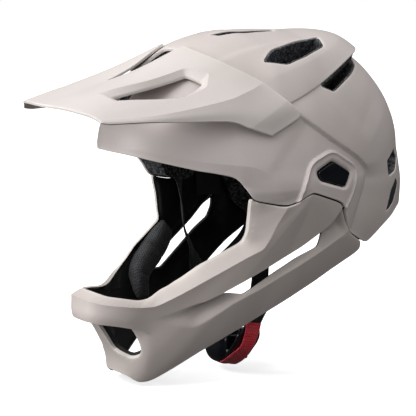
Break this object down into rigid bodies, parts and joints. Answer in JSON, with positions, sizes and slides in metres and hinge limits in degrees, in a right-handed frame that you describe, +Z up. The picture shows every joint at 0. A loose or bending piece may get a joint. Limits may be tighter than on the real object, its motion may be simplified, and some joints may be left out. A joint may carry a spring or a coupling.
{
  "type": "full-face bicycle helmet",
  "caption": "Full-face bicycle helmet with a tilting visor, a chin bar that comes off with side release buttons, vents, pads, straps, a magnetic buckle and a nape cradle with a dial.",
  "frame": {"origin": "centre of the head space on the line through both ears", "axes": "-Y is forward (the way the wearer looks), +X is the wearer's left, +Z is up"},
  "size_m": [0.211, 0.309, 0.2735],
  "materials": {
    "shell_paint": "satin warm light grey",
    "visor_paint": "satin warm light grey",
    "bar_paint": "satin warm light grey",
    "foam": "black expanded foam",
    "pad_fabric": "black mesh fabric over foam",
    "red_webbing": "red woven webbing",
    "webbing": "black woven webbing",
    "magnet_steel": "nickel plated",
    "black_gloss": "gloss black",
    "black_plastic": "satin black"
  },
  "bodies": {
    "helmet": {"upper_shell": "shell_paint", "helmet_liner": "foam", "rear_port_left": "black_gloss", "rear_port_right": "black_gloss", "latch_housing_left": "black_plastic", "latch_housing_right": "black_plastic", "visor_bushing_left": "black_plastic", "visor_bushing_right": "black_plastic", "crown_pad": "pad_fabric", "brow_pad": "pad_fabric", "side_pad_left": "pad_fabric", "side_pad_right": "pad_fabric", "strap_front_left": "webbing", "strap_front_right": "webbing", "strap_rear_left": "webbing", "strap_rear_right": "webbing", "chin_strap_left": "webbing", "chin_strap_right": "webbing", "strap_divider_left": "black_plastic", "strap_divider_right": "black_plastic", "strap_anchor_left": "black_plastic", "strap_anchor_right": "black_plastic", "rear_anchor_left": "black_plastic", "rear_anchor_right": "black_plastic", "buckle_base": "black_plastic", "buckle_magnet_base": "magnet_steel"},
    "visor": {"visor_plate": "visor_paint", "visor_pin_left": "black_plastic", "visor_pin_right": "black_plastic"},
    "chin_bar": {"chin_bar_shell": "bar_paint", "chin_bar_liner": "foam", "chin_tongue_left": "black_plastic", "chin_tongue_right": "black_plastic", "cheek_pad_left": "pad_fabric", "cheek_pad_right": "pad_fabric"},
    "release_left": {"release_button_left": "black_gloss"},
    "release_right": {"release_button_right": "black_gloss"},
    "buckle": {"buckle_tongue": "black_plastic", "buckle_magnet_tongue": "magnet_steel", "pull_tab": "red_webbing"},
    "cradle": {"nape_cradle": "black_plastic", "nape_pad": "pad_fabric"},
    "dial": {"tension_dial": "black_plastic"}
  },
  "joints": [
    {"name": "visor_tilt", "type": "hinge", "parent": "helmet", "child": "visor", "pos_m": [0, -0.022, 0.056], "axis": [-1, 0, 0], "range_deg": [0, 12]},
    {"name": "chin_bar_off", "type": "slide", "parent": "helmet", "child": "chin_bar", "axis": [0, 0, -1], "range_m": [0, 0.18]},
    {"name": "release_left_press", "type": "slide", "parent": "helmet", "child": "release_left", "axis": [-1, 0, 0], "range_m": [0, 0.0025], "stiffness_N_per_m": 600},
    {"name": "release_right_press", "type": "slide", "parent": "helmet", "child": "release_right", "axis": [1, 0, 0], "range_m": [0, 0.0025], "stiffness_N_per_m": 600},
    {"name": "buckle_slide", "type": "slide", "parent": "helmet", "child": "buckle", "axis": [1, 0, 0], "range_m": [0, 0.012]},
    {"name": "cradle_height", "type": "slide", "parent": "helmet", "child": "cradle", "axis": [0, 0, -1], "range_m": [0, 0.01]},
    {"name": "dial_turn", "type": "hinge", "parent": "cradle", "child": "dial", "pos_m": [0, 0.104, -0.033], "axis": [0, 1, 0], "range_deg": [0, 330]}
  ]
}
